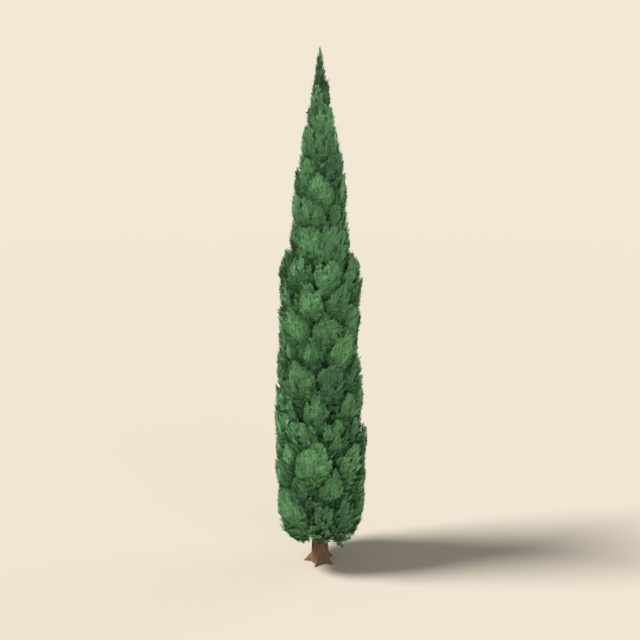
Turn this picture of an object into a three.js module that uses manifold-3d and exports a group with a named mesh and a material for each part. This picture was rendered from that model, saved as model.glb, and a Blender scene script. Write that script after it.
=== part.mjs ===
// Pencil cypress: a tall narrow evergreen with one straight trunk, and a dense crown of upright plumes.
// Millimetres, +Z up. The origin is at ground level, at the middle of the trunk's flat cut.
import * as THREE from "three";
import { mergeVertices } from "three/addons/utils/BufferGeometryUtils.js";
import Module from "manifold-3d";

const wasm = await Module();
wasm.setup();

// ---------------------------------------------------------------- driving dimensions

const TREE_HEIGHT = 10000;

// Trunk: one straight tapering stem on a flare of five root toes.
const TRUNK_TOP = 9700;
const TRUNK_RADIUS = 163;
const TRUNK_TIP_RADIUS = 7;
const TRUNK_TAPER = 0.92;
const TRUNK_SIDES = 20;
const TRUNK_LEVELS = 16;
const LEVEL_CROWDING = 2.2; // levels crowd towards the ground, where the flare is
const FLARE_SPREAD = 20;
const FLARE_HEIGHT = 300;
const ROOT_TOES = 5;
const ROOT_TOE_REACH = 145;
const ROOT_TOE_HEIGHT = 170; // where their backs meet the trunk
const ROOT_TOE_BLUNTNESS = 0.8; // below 1, their backs bow outwards
const ROOT_TOE_SHARPNESS = 7;
const FIRST_TOE = Math.PI / 5;
const TRUNK_SWAY = 14; // how far the axis wanders from the vertical
const SWAY_LENGTH = 2300;

// Crown: [height, radius] of its outline, from the lowest tips to the top.
const CROWN_OUTLINE = [
  [600, 800],
  [1000, 865],
  [2600, 865],
  [4700, 745],
  [5950, 770],
  [6350, 595],
  [8200, 380],
  [9000, 200],
  [TREE_HEIGHT, 20],
];
const WIDEST = 865;

// Plumes: upright tufts of foliage in staggered tiers round the trunk, and a leader on top.
const LOWEST_TIER = 1180;
const HIGHEST_TIER = 9150;
const TIER_STEP = 520;
const TIER_STEP_AT_TOP = 400;
const PLUME_SPACING = 470;
const PLUME_SPACING_AT_TOP = 190;
const PLUME_DEPTH = 250; // from the middle of a plume out to the crown's surface
const PLUME_HALF_LENGTH = 1.2; // in tier steps
const PLUME_FULLNESS = 1.8; // a plume's width as a share of its spacing
const PLUME_LEAN = 0.13; // outward lean of its axis from the crown's flank, radians
const HEAD_STAND = 0.06; // how far its head stands out of the crown, as a share of the radius
const FLANK_SPAN = 400; // the height over which the flank's slope is taken
const SLIM_RING = 0.5; // where the middles stand, as a share of the radius, in the thin top
const TRUNK_MARGIN = 15; // between the inner side of a core and the trunk
const FEWEST_PLUMES = 3;
const PLUMES_PER_MASS = 2;
const FEWEST_TO_PAIR = 4; // a tier of fewer plumes has one mass for each
const LEADER_MIDDLE = 9430;
const LEADER_HALF_LENGTH = 560;
const LEADER_RADIUS = 110; // at its middle
const LEADER_TAPER = 0.9; // from its foot to its tip, as a share of that
const LAYOUT_SEED = 24;
const ANGLE_JITTER = 0.2; // share of the plume spacing
const HEIGHT_JITTER = 0.22; // share of the tier step
const REACH_JITTER = 0.07; // share of the crown's radius
const LENGTH_JITTER = 0.12;
const LEAN_JITTER = 0.7;

// Cells: a wall stands between each two plumes, so that each keeps a space of its own.
const HEIGHT_WEIGHT = 0.6; // plumes are taller than they are wide
const RISE = 0.5; // slope of the cells, which climb outwards as the boughs do
const SWIRL = 0.15; // turn of the cells, so that each plume laps over the next one round the trunk
const WALLS_MET = 2; // a corner goes out to one wall of its cell and along it to the next
const CELL_GAP = 6; // clear space left on each side of a cell's wall

// Cores: the dense inside of a plume, a faceted shingle with an outer and an inner ring of corners.
const CORE_SIDES = 6;
const CORE_RINGS = 3;
const CORE_ROUGHNESS = 0.12;
const CORE_DEPTH = 0.92; // share of the plume's depth
const CORE_INNER_FOOT = 0.7; // how far the inner ring reaches down, as a share of the outer one
const CROWN_STEPS = 20; // in how many steps a corner is drawn back into the crown

// Sprays: toothed blades of scale leaves that stand out of the cores.
const SPRAYS_PER_PLUME = 3;
const SPRAY_TRIES = 40;
const SPRAY_LENGTH = 340;
const SPRAY_LENGTH_JITTER = 0.15;
const SPRAY_THICKNESS = 0.08; // share of its length
const SPRAY_SUNK = 0.3; // share of its length that is inside the core
const SPRAY_LIFT = 0.28; // slope away from the core's face
const SPRAY_SPREAD = 2.6; // the arc of the plume's outer side that has sprays, radians
const SPRAY_HIGHEST = 0.8; // where the highest ones stand, as a share of the plume's half length
const SPRAY_SPAN = 0.75; // and how far down from there the lowest ones do
const SPRAY_SHUFFLE = 0.2; // share of that span by which each is out of step
const SPRAY_MARGIN = 50; // how far it may pass its plume's outline
const SPRAY_RIDGE = 0.5; // where its raised middle stands along it
// Its outline as shares of its length, across and along: root, tooth, notch, tip, notch, tooth.
const SPRAY_OUTLINE = [
  [0, 0],
  [0.24, 0.56],
  [0.12, 0.68],
  [0, 1],
  [-0.12, 0.68],
  [-0.24, 0.56],
];

// Stems: three-sided, from the trunk into the first core, with a branch into the next.
const STEM_SIDES = 3;
const STEM_RADIUS = 22;
const STEM_TIP_RADIUS = 12;
const FORK_AT = 0.4; // share of the way from the trunk to the first plume's middle

const TRUNK_GAP = 0.3; // clear space between the trunk and what meets it
const GOLDEN = 0.618; // steps of this share spread the sprays of any number evenly
const PLUME_SEED_STEP = 7919; // keeps the plumes' streams of numbers apart

// ---------------------------------------------------------------- finishes

const BARK = new THREE.MeshStandardMaterial({ color: 0x6b4f3c, roughness: 0.9, metalness: 0 });
const GREENS = [
  new THREE.MeshStandardMaterial({ color: 0x4a7548, roughness: 0.8, metalness: 0 }),
  new THREE.MeshStandardMaterial({ color: 0x41683f, roughness: 0.8, metalness: 0 }),
  new THREE.MeshStandardMaterial({ color: 0x568651, roughness: 0.8, metalness: 0 }),
];

// ---------------------------------------------------------------- helpers

// A repeatable stream of numbers from 0 to 1, so that every build grows the same tree.
function randomStream(seed) {
  let state = seed >>> 0;
  const next = () => {
    state = (Math.imul(state, 1664525) + 1013904223) >>> 0;
    return state / 4294967296;
  };
  next();
  return next;
}

// A closed three.js geometry as a solid.
function solidFrom(geometry) {
  const bare = geometry.clone();
  bare.deleteAttribute("normal");
  bare.deleteAttribute("uv");
  const merged = mergeVertices(bare, 1e-3);
  return new wasm.Manifold(
    new wasm.Mesh({
      numProp: 3,
      vertProperties: merged.attributes.position.array,
      triVerts: new Uint32Array(merged.index.array),
    }),
  );
}

// A solid back as a geometry.
function geometryFrom(solid) {
  const mesh = solid.getMesh();
  return new THREE.BufferGeometry()
    .setAttribute("position", new THREE.BufferAttribute(mesh.vertProperties, 3))
    .setIndex(new THREE.BufferAttribute(mesh.triVerts, 1));
}

// Moves every vertex of a geometry to where a function puts it.
function reshape(geometry, place) {
  const position = geometry.attributes.position;
  for (let i = 0; i < position.count; i++) {
    const moved = place(new THREE.Vector3().fromBufferAttribute(position, i));
    position.setXYZ(i, moved.x, moved.y, moved.z);
  }
  return geometry;
}

// The crown's radius at a height, along straight stretches of its outline.
function crownRadius(z) {
  const upper = CROWN_OUTLINE.findIndex(([height]) => height >= z);
  if (upper <= 0) return CROWN_OUTLINE[upper < 0 ? CROWN_OUTLINE.length - 1 : 0][1];
  const [z0, r0] = CROWN_OUTLINE[upper - 1];
  const [z1, r1] = CROWN_OUTLINE[upper];
  return r0 + ((r1 - r0) * (z - z0)) / (z1 - z0);
}

// ---------------------------------------------------------------- trunk

function trunkRadius(z) {
  const share = Math.max(0, 1 - z / TRUNK_TOP);
  return TRUNK_TIP_RADIUS + (TRUNK_RADIUS - TRUNK_TIP_RADIUS) * share ** TRUNK_TAPER;
}

function trunkAxis(z) {
  const sway = TRUNK_SWAY * (1 - Math.cos(z / SWAY_LENGTH));
  return new THREE.Vector3(sway * 0.5, TRUNK_SWAY * Math.sin(z / SWAY_LENGTH), z);
}

function rootToes(angle, z) {
  const ridge = Math.cos((ROOT_TOES * (angle - FIRST_TOE)) / 2) ** 2;
  const back = Math.max(0, 1 - z / ROOT_TOE_HEIGHT) ** ROOT_TOE_BLUNTNESS;
  return ROOT_TOE_REACH * ridge ** ROOT_TOE_SHARPNESS * back;
}

// The trunk, or with a gap the space that foliage keeps clear of.
function trunkGeometry(gap = 0) {
  const column = new THREE.CylinderGeometry(1, 1, 1, TRUNK_SIDES, TRUNK_LEVELS);
  return reshape(column, (unit) => {
    const angle = Math.atan2(-unit.z, unit.x);
    const z = TRUNK_TOP * (unit.y + 0.5) ** LEVEL_CROWDING;
    const flare = FLARE_SPREAD * Math.exp(-z / FLARE_HEIGHT);
    const onCap = Math.hypot(unit.x, unit.z) < 0.5;
    const radius = onCap ? 0 : trunkRadius(z) + flare + rootToes(angle, z) + gap;
    const lift = z > TRUNK_TOP / 2 ? gap : 0;
    return trunkAxis(z).add(
      new THREE.Vector3(radius * Math.cos(angle), radius * Math.sin(angle), lift),
    );
  });
}

// ---------------------------------------------------------------- where the plumes stand

// How far from the axis the middles of plumes stand, where the crown has this radius.
function ringRadius(crown) {
  return Math.max(crown - PLUME_DEPTH, crown * SLIM_RING);
}

// The slope of the crown's flank at a height.
function flankSlope(z) {
  return (crownRadius(z + FLANK_SPAN) - crownRadius(z - FLANK_SPAN)) / (2 * FLANK_SPAN);
}

// Every plume's place, size and lean, tier by tier from the lowest, and the leader last.
function plumeLayout() {
  const random = randomStream(LAYOUT_SEED);
  const swing = (share) => (2 * random() - 1) * share;
  const plumes = [];
  let tier = 0;
  let tierHeight = LOWEST_TIER;
  while (tierHeight < HIGHEST_TIER) {
    const slim = crownRadius(tierHeight) / WIDEST;
    const round = 2 * Math.PI * ringRadius(crownRadius(tierHeight));
    const spacing = PLUME_SPACING_AT_TOP + (PLUME_SPACING - PLUME_SPACING_AT_TOP) * slim;
    const count = Math.max(FEWEST_PLUMES, Math.round(round / spacing));
    const step = TIER_STEP_AT_TOP + (TIER_STEP - TIER_STEP_AT_TOP) * slim;
    const perMass = count < FEWEST_TO_PAIR ? 1 : PLUMES_PER_MASS;
    for (let i = 0; i < count; i++) {
      const angle = ((i + (tier % 2) / 2 + swing(ANGLE_JITTER)) * 2 * Math.PI) / count;
      const z = tierHeight + swing(HEIGHT_JITTER) * step;
      const reach = crownRadius(z) * (1 + swing(REACH_JITTER));
      const outward = new THREE.Vector3(Math.cos(angle), Math.sin(angle), 0);
      plumes.push({
        tier,
        mass: Math.min(Math.floor(count / perMass) - 1, Math.floor(i / perMass)),
        outward,
        middle: outward.clone().multiplyScalar(ringRadius(reach)).setZ(z),
        reach,
        depth: reach - ringRadius(reach),
        innerDepth: ringRadius(reach) - trunkRadius(z) - TRUNK_MARGIN,
        halfWidth: (round / count / 2) * PLUME_FULLNESS,
        halfLength: PLUME_HALF_LENGTH * step * (1 + swing(LENGTH_JITTER)),
        lean: PLUME_LEAN * (1 + swing(LEAN_JITTER)) + flankSlope(z),
        tone: random(),
      });
    }
    tier += 1;
    tierHeight += step;
  }
  plumes.push({
    tier,
    mass: 0,
    outward: new THREE.Vector3(1, 0, 0),
    middle: new THREE.Vector3(0, 0, LEADER_MIDDLE),
    depth: LEADER_RADIUS,
    innerDepth: LEADER_RADIUS,
    halfWidth: LEADER_RADIUS,
    halfLength: LEADER_HALF_LENGTH,
    lean: 0,
    tone: random(),
    isLeader: true,
  });
  return plumes;
}

// The wall between two plumes: its normal points at the other one, and it stands midway.
function wallBetween(plume, other) {
  const apart = other.middle.clone().sub(plume.middle);
  const outward = other.middle.clone().add(plume.middle).setZ(0).normalize();
  const around = new THREE.Vector3(-outward.y, outward.x, 0);
  const upright = apart.z * HEIGHT_WEIGHT ** 2;
  const normal = new THREE.Vector3(apart.x, apart.y, upright);
  normal.addScaledVector(outward, SWIRL * apart.dot(around) - RISE * upright).normalize();
  return { normal, distance: normal.dot(apart) / 2 };
}

// The first wall of a plume's cell on the way from a point in it, and the share of the way up to it.
function firstWall(plume, from, way, plumes) {
  let first = { share: 1, normal: null };
  for (const other of plumes) {
    if (other === plume) continue;
    const { normal, distance } = wallBetween(plume, other);
    const room = distance - CELL_GAP - from.clone().sub(plume.middle).dot(normal);
    const along = way.dot(normal);
    if (along > 0 && room < along * first.share) first = { share: Math.max(0, room / along), normal };
  }
  return first;
}

// Goes from a point in a plume's cell towards another, as far as the cell's walls let it.
function goInCell(plume, from, to, plumes, wallsMet = 1) {
  const point = from.clone();
  const way = to.clone().sub(from);
  for (let met = 0; met < wallsMet; met++) {
    const { share, normal } = firstWall(plume, point, way, plumes);
    point.addScaledVector(way, share);
    if (!normal) break;
    way.multiplyScalar(1 - share).addScaledVector(normal, -way.dot(normal));
  }
  return point;
}

function isInCell(plume, point, plumes) {
  return firstWall(plume, plume.middle, point.clone().sub(plume.middle), plumes).share === 1;
}

// ---------------------------------------------------------------- parts of a plume

// The plume's own axes: up along it, outward from the trunk, and sideways.
function plumeAxes(plume) {
  const up = new THREE.Vector3(0, 0, Math.cos(plume.lean)).addScaledVector(
    plume.outward,
    Math.sin(plume.lean),
  );
  const side = new THREE.Vector3().crossVectors(plume.outward, up).normalize();
  const out = new THREE.Vector3().crossVectors(up, side).normalize();
  return { up, side, out };
}

// Moves every corner of a geometry once, so that corners that are one point stay one.
function reshapeCorners(geometry, place) {
  const placed = new Map();
  return reshape(geometry, (corner) => {
    const key = corner.toArray().map((v) => Math.round(v * 1e4)).join();
    if (!placed.has(key)) placed.set(key, place(corner));
    return placed.get(key).clone();
  });
}

// The core: its corners stand round the cell's axis, and go out to the cell's walls.
function coreGeometry(plume, plumes, random) {
  const { up, side, out } = plumeAxes(plume);
  return reshapeCorners(new THREE.SphereGeometry(1, CORE_SIDES, CORE_RINGS), (unit) => {
    const depth = unit.y * (unit.y > 0 ? plume.depth * CORE_DEPTH : plume.innerDepth);
    const stretch = 1 + (2 * random() - 1) * CORE_ROUGHNESS;
    const halfLength = plume.halfLength * (unit.x < 0 && unit.y < 0 ? CORE_INNER_FOOT : 1);
    const onAxis = plume.middle.clone().addScaledVector(out, depth).addScaledVector(up, RISE * depth);
    const root = goInCell(plume, plume.middle, onAxis, plumes);
    const reach = ringRadius(plume.reach) + depth;
    const halfWidth = Math.min(plume.halfWidth, Math.sqrt(plume.reach ** 2 - reach ** 2));
    const corner = root
      .clone()
      .addScaledVector(up, unit.x * stretch * halfLength)
      .addScaledVector(side, -unit.z * stretch * halfWidth);
    return drawIntoCrown(plume, root, goInCell(plume, root, corner, plumes, WALLS_MET));
  });
}

// How far from the trunk's axis a plume may reach at a height: most at its head, least at its foot.
function plumeOutline(plume, z) {
  const fullness = plume.reach / crownRadius(plume.middle.z);
  const climb = THREE.MathUtils.clamp((z - plume.middle.z) / plume.halfLength, -1, 1);
  return crownRadius(z) * fullness * (1 + HEAD_STAND * climb);
}

// Draws a corner back towards its root until it is inside its plume's outline.
function drawIntoCrown(plume, root, corner) {
  for (let step = 0; step < CROWN_STEPS; step++) {
    const point = corner.clone().lerp(root, step / CROWN_STEPS);
    if (Math.hypot(point.x, point.y) <= plumeOutline(plume, point.z)) return point;
  }
  return root;
}

// The leader's core: a slim spindle, fullest near its foot.
function leaderGeometry(plume, plumes) {
  const spindle = new THREE.SphereGeometry(1, CORE_SIDES, CORE_RINGS).rotateX(Math.PI / 2);
  return reshapeCorners(spindle, (unit) => {
    const radius = LEADER_RADIUS * (1 - LEADER_TAPER * unit.z);
    const corner = new THREE.Vector3(unit.x * radius, unit.y * radius, unit.z * plume.halfLength);
    return goInCell(plume, plume.middle, corner.add(plume.middle), plumes);
  });
}

// A toothed blade on a six-sided bipyramid: its rim is the outline, its poles are the raised middle.
function sprayGeometry(length) {
  const members = SPRAY_OUTLINE.length;
  const blade = new THREE.SphereGeometry(length, members, 2);
  return reshape(blade, (point) => {
    if (Math.abs(point.y) > length / 2) {
      return new THREE.Vector3(0, (point.y * SPRAY_THICKNESS) / 2, SPRAY_RIDGE * length);
    }
    const turn = Math.atan2(point.z, -point.x) / (2 * Math.PI);
    const [across, along] = SPRAY_OUTLINE[(Math.round(turn * members) + members) % members];
    return new THREE.Vector3(-across * length, 0, along * length);
  });
}

// Sprays spread over the core's outer side, each kept only if all of it stays in the plume's cell.
function spraysOf(plume, coreShape, plumes, random) {
  const { up, side, out } = plumeAxes(plume);
  const core = new THREE.Mesh(coreShape, new THREE.MeshBasicMaterial({ side: THREE.DoubleSide }));
  const size = (1 + plume.halfLength / (PLUME_HALF_LENGTH * TIER_STEP)) / 2;
  const kept = [];
  for (let i = 0; i < SPRAY_TRIES && kept.length < SPRAYS_PER_PLUME; i++) {
    const climb = SPRAY_HIGHEST - SPRAY_SPAN * ((i * GOLDEN + random() * SPRAY_SHUFFLE) % 1);
    const swing = (random() - 0.5) * SPRAY_SPREAD * (plume.isLeader ? 2 : 1);
    const direction = out
      .clone()
      .multiplyScalar(Math.cos(swing))
      .addScaledVector(side, Math.sin(swing))
      .multiplyScalar(plume.depth)
      .addScaledVector(up, climb * plume.halfLength)
      .normalize();
    const [hit] = new THREE.Raycaster(plume.middle, direction).intersectObject(core);
    const facing = hit.face.normal;
    const across = new THREE.Vector3().crossVectors(up, facing).normalize();
    const aim = new THREE.Vector3().crossVectors(facing, across).addScaledVector(facing, SPRAY_LIFT);
    const flat = new THREE.Vector3().crossVectors(aim.normalize(), across);
    const length = SPRAY_LENGTH * size * (1 + (2 * random() - 1) * SPRAY_LENGTH_JITTER);
    const root = hit.point.addScaledVector(aim, -SPRAY_SUNK * length);
    const frame = new THREE.Matrix4().makeBasis(across, flat, aim).setPosition(root);
    const blade = sprayGeometry(length).applyMatrix4(frame);
    if (staysInside(blade, plume, plumes)) kept.push(solidFrom(blade));
  }
  return kept;
}

// Whether a spray keeps to its plume's cell and outline; the leader has its cell and the tree's top.
function staysInside(geometry, plume, plumes) {
  const position = geometry.attributes.position;
  for (let i = 0; i < position.count; i++) {
    const point = new THREE.Vector3().fromBufferAttribute(position, i);
    if (!isInCell(plume, point, plumes) || point.z > TREE_HEIGHT) return false;
    if (plume.isLeader) continue;
    if (Math.hypot(point.x, point.y) > plumeOutline(plume, point.z) + SPRAY_MARGIN) return false;
  }
  return true;
}

// A tapering three-sided limb from one point to another.
function limb(from, to, fromRadius, toRadius) {
  const way = to.clone().sub(from);
  const bar = new THREE.CylinderGeometry(toRadius, fromRadius, way.length(), STEM_SIDES, 1);
  const upright = new THREE.Vector3(0, 1, 0);
  bar.applyQuaternion(new THREE.Quaternion().setFromUnitVectors(upright, way.normalize()));
  const middle = from.clone().add(to).multiplyScalar(0.5);
  bar.translate(middle.x, middle.y, middle.z);
  return solidFrom(bar);
}

// ---------------------------------------------------------------- masses of foliage

// A stem from the trunk into the first plume's core, and a branch off it into each other core.
function stemsOf([first, ...others]) {
  const footHeight = first.middle.z - RISE * Math.hypot(first.middle.x, first.middle.y);
  const foot = trunkAxis(footHeight).addScaledVector(first.outward, trunkRadius(footHeight) / 2);
  const fork = foot.clone().lerp(first.middle, FORK_AT);
  const girth = Math.min(1, trunkRadius(footHeight) / (2 * STEM_RADIUS));
  const tip = STEM_TIP_RADIUS * girth;
  return [
    limb(foot, first.middle, STEM_RADIUS * girth, tip),
    ...others.map((plume) => limb(fork, plume.middle, tip, tip)),
  ];
}

// The largest single body of a solid: a scrap that a cut leaves loose is dropped.
function largestBody(solid) {
  return solid.decompose().sort((a, b) => b.volume() - a.volume())[0];
}

function massSolid(group, plumes, trunkSpace) {
  const pieces = [];
  for (const plume of group) {
    const random = randomStream(1 + plumes.indexOf(plume) * PLUME_SEED_STEP);
    const core = plume.isLeader ? leaderGeometry(plume, plumes) : coreGeometry(plume, plumes, random);
    pieces.push(solidFrom(core), ...spraysOf(plume, core, plumes, random));
  }
  const stems = group[0].isLeader ? [] : stemsOf(group);
  const joined = [...pieces, ...stems].reduce((sum, piece) => sum.add(piece));
  return largestBody(joined.subtract(trunkSpace));
}

// ---------------------------------------------------------------- the tree

const tree = new THREE.Group();

function addPart(name, geometry, material) {
  const mesh = new THREE.Mesh(geometry, material);
  mesh.name = name;
  tree.add(mesh);
}

addPart("trunk", trunkGeometry(), BARK);

const plumes = plumeLayout();
const trunkSpace = solidFrom(trunkGeometry(TRUNK_GAP));
const tiers = 1 + Math.max(...plumes.map((plume) => plume.tier));
for (let tier = 0; tier < tiers; tier++) {
  const inTier = plumes.filter((plume) => plume.tier === tier);
  const masses = 1 + Math.max(...inTier.map((plume) => plume.mass));
  for (let mass = 0; mass < masses; mass++) {
    const group = inTier.filter((plume) => plume.mass === mass);
    const solid = massSolid(group, plumes, trunkSpace);
    const green = GREENS[Math.floor(group[0].tone * GREENS.length)];
    const name = `foliage_tier_${String(tier + 1).padStart(2, "0")}_mass_${mass + 1}`;
    addPart(name, geometryFrom(solid), green);
  }
}

export default tree;
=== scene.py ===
"""Pencil cypress: its bark, boughs, side shoots and sprays of scale leaves. Metres, +Z up."""
import math
from dataclasses import dataclass

import bmesh
import bpy
import numpy as np
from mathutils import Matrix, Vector, noise


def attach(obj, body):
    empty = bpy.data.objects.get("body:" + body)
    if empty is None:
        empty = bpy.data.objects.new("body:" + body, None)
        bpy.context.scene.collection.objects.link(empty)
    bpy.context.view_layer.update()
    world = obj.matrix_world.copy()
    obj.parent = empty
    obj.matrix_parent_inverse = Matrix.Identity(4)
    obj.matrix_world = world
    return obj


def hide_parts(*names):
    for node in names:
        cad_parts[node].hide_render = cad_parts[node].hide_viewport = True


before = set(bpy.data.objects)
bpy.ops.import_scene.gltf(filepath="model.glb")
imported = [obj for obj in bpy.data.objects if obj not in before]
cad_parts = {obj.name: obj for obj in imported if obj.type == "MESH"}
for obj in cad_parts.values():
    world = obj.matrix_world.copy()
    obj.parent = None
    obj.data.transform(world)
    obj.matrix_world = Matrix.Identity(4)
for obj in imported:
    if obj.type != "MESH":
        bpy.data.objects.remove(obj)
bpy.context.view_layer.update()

# ---------------------------------------------------------------- driving dimensions of the solids

TREE_HEIGHT = 10.0

# Trunk: one upright tapering stem on a flare of five root toes.
TRUNK_TOP = 9.7
TRUNK_RADIUS = 0.163
TRUNK_TIP_RADIUS = 0.007
TRUNK_TAPER = 0.92
FLARE_SPREAD = 0.02
FLARE_HEIGHT = 0.3
ROOT_TOES = 5
ROOT_TOE_REACH = 0.145
ROOT_TOE_HEIGHT = 0.17  # where their backs meet the trunk
ROOT_TOE_BLUNTNESS = 0.8  # below 1, their backs bow outwards
ROOT_TOE_SHARPNESS = 7
FIRST_TOE = math.pi / 5
TRUNK_SWAY = 0.014  # how far the axis wanders from the vertical
SWAY_LENGTH = 2.3

# Crown: heights and radii of its outline, from the lowest tips to the top.
OUTLINE_HEIGHTS = [0.6, 1.0, 2.6, 4.7, 5.95, 6.35, 8.2, 9.0, TREE_HEIGHT]
OUTLINE_RADII = [0.8, 0.865, 0.865, 0.745, 0.77, 0.595, 0.38, 0.2, 0.02]
WIDEST = 0.865

# Plumes: upright tufts of foliage in staggered tiers round the trunk, and a leader on top.
LOWEST_TIER = 1.18
HIGHEST_TIER = 9.15
TIER_STEP = 0.52
TIER_STEP_AT_TOP = 0.4
PLUME_SPACING = 0.47
PLUME_SPACING_AT_TOP = 0.19
PLUME_DEPTH = 0.25  # from the middle of a plume out to the crown's surface
PLUME_HALF_LENGTH = 1.2  # in tier steps
PLUME_FULLNESS = 1.8  # a plume's width as a share of its spacing
PLUME_LEAN = 0.13  # outward lean of its axis from the crown's flank, radians
HEAD_STAND = 0.06  # how far its head stands out of the crown, as a share of the radius
FLANK_SPAN = 0.4  # the height over which the flank's slope is taken
SLIM_RING = 0.5  # where the middles stand, as a share of the radius, in the thin top
TRUNK_MARGIN = 0.015  # between the inner side of a plume and the trunk
FEWEST_PLUMES = 3
PLUMES_PER_MASS = 2
FEWEST_TO_PAIR = 4  # a tier of fewer plumes has one mass for each
LEADER_MIDDLE = 9.43
LEADER_HALF_LENGTH = 0.56
LEADER_RADIUS = 0.11  # at its middle
LEADER_TAPER = 0.9  # from its foot to its tip, as a share of that
LAYOUT_SEED = 24
ANGLE_JITTER = 0.2  # share of the plume spacing
HEIGHT_JITTER = 0.22  # share of the tier step
REACH_JITTER = 0.07  # share of the crown's radius
LENGTH_JITTER = 0.12
LEAN_JITTER = 0.7

# Cells: a wall stands between each two plumes, so that each keeps a space of its own.
HEIGHT_WEIGHT = 0.6  # plumes are taller than they are wide
RISE = 0.5  # slope of the cells, which climb outwards as the boughs do
SWIRL = 0.15  # turn of the cells, so that each plume laps over the next one round the trunk
WALLS_MET = 2  # a point goes out to one wall of its cell and along it to the next
CELL_GAP = 0.006

# Cores: the dense body of a plume, a faceted shingle with an outer and an inner ring of corners.
CORE_SIDES = 6
CORE_RINGS = 3
CORE_ROUGHNESS = 0.12
CORE_DEPTH = 0.92  # share of the plume's depth
CORE_INNER_FOOT = 0.7  # how far the inner ring reaches down, as a share of the outer one
CROWN_STEPS = 20  # in how many steps a corner is drawn back into the crown
PLUME_SEED_STEP = 7919  # keeps the plumes' streams of numbers apart
TINY = 1e-12  # shorter than any real length
NEARLY_UPRIGHT = 0.9  # the rise of a path for each metre of its length

# Stems: each mass hangs on one, which forks to its plumes.
STEM_RADIUS = 0.022
STEM_TIP_RADIUS = 0.012
FORK_AT = 0.4  # share of the way from the trunk to the first plume's middle

# ---------------------------------------------------------------- dimensions of the finer growth

# Bark: furrowed strips that wind slowly round the trunk.
BARK_SIDES = 144
BARK_LEVELS = 96
LEVEL_CROWDING = 2.0  # levels crowd towards the ground, where the trunk shows
FURROW_DEPTH = 0.007
FURROW_WIDTH = 0.034
FURROW_LENGTH = 0.3
FURROW_TURN = 0.35  # radians for each metre of height
FURROW_SHARPNESS = 3.2
FURROW_FLOOR = -0.6  # where the furrows' floors are cut flat, as a share of their depth
FURROW_MIDDLE = 0.7  # the level that lies on the trunk's own surface, likewise
FLAKE_DEPTH = 0.0025
FLAKES_ACROSS = 2.3  # for each furrow
FLAKES_ALONG = 3.1
SMOOTH_RADIUS = 0.06  # the relief fades where the trunk is thinner than this

# Boughs: the stems of the masses, from the trunk to near the head of each plume.
BOUGH_SIDES = 8
BOUGH_POINTS = 5
BOUGH_SUNK = 0.9  # where they start, as a share of the trunk's radius
BOUGH_TOP = 0.85  # where they end, in half lengths of the plume

# Side shoots: from the axis of a plume out to the faces of its body, and along them.
SHOOTS_PER_AREA = 70  # for each square metre of the faces, where they show
HIDDEN_DEPTH = 0.34  # how deep in the crown their number falls to the fewest
FEWEST_SHOOTS = 0.36  # as a share of that number
LEAFY_DEPTH = 0.2  # shoots that run deeper than this have broad sprays alone, painted darker as shade
EVEN_STEPS = (0.7549, 0.5698)  # steps of these shares spread the spots of any number evenly
SHOOT_RUN = 0.25  # how far a shoot runs along a face
SHOOT_RUN_JITTER = 0.25
SHOOT_LIFT = 0.05  # slope of its tip away from the face
LEADER_LIFT = 0.25
SHOOT_SUNK = 0.03  # how deep under the face its run starts
SHOOT_REACH_DOWN = 0.3  # how far below its run it leaves the plume's axis
SHOOT_FEET = 0.8  # how far from the middle of the axis they may leave it, in half lengths
SHOOT_ELBOW = 0.5  # how far its bend is drawn out along the line of its run
SHOOT_RADIUS = 0.0045
SHOOT_TIP_RADIUS = 0.0015
SHOOT_SIDES = 3
SHOOT_POINTS = 3
HEAD_PULL = 0.6  # how much shoots bend towards the head of their plume
HEAD_HEIGHT = 1.25  # of that head, in half lengths of the plume
HEAD_DEPTH = 0.5  # and how far out it is, in depths of the plume
LEADER_SIZE = 0.55  # of its shoots and sprays, beside those of the largest plumes
LEAST_SIZE = 0.5  # of those of the smallest plume there could be, likewise

# Sprays: flat fans of branchlets clad in scale leaves.
SPRAYS_PER_SHOOT = 10
SPRAY_LENGTH = 0.13
SPRAY_LENGTH_JITTER = 0.2
SPRAY_SHORTENING = 0.3  # towards the tip of its shoot
SPRAY_PLACE_JITTER = 0.3  # share of the way to the next spray
SPRAY_ANGLE = 0.68  # from its shoot, radians
SPRAY_ANGLE_JITTER = 0.25
SPRAY_LIFT = 0.05  # slope of its tip away from the face
SPRAY_LIFT_JITTER = 0.1
SPRAY_ROLL = 0.22  # how far it may turn about its own length
SHORTENED = 0.6  # the share of its length that a spray keeps where it would pass a wall
BRANCHLETS_FROM = 0.04  # where they stand, as shares of the spray's length
BRANCHLETS_OVER = 0.7
BRANCHLET_PLACE_JITTER = 0.2  # share of the way to the next branchlet
LOWEST_BRANCHLETS = 0.46  # their length, as a share of the spray's
HIGHEST_BRANCHLETS = 0.5  # theirs, as a share of the lowest ones'
BRANCHLET_LENGTHS = (0.8, 1.15)  # from the shortest to the longest at one height
BRANCHLET_ANGLE = 0.7
BRANCHLET_ANGLES = (0.8, 1.2)  # as shares of that
BRANCHLET_LIFT = 0.16  # how far they may rise out of the spray's plane, or dip under it
WIDEST_AT = 0.55  # where a branchlet is widest, as a share of its length
FOLD = 0.2  # how far the edges of a branchlet are bent down, as a share of its width
TIP_CURVE = 0.09  # how far the tip of a spray curves outwards
SPRAY_PATTERNS = 6
INNER_SPRAYS = (0.4, 0.6, 0.77, 0.92)  # where sprays stand on the hidden part of a shoot
INNER_LENGTH = 0.265
INNER_LEAN = 0.35  # slope of their tips towards the face, so that they close the cell's wall
TIP_SPRAYS = 64  # that clothe the trunk's tip
TIP_FOOT = 8.95
TIP_SPRAY_LENGTH = 0.13
TIP_SHORTENING = 0.4  # towards the top
TIP_LEAN = 0.5  # slope of the lowest ones away from the trunk
TOP_GAP = 0.002  # between the last one and the tree's height
GOLDEN_TURN = math.pi * (3 - math.sqrt(5))
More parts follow.
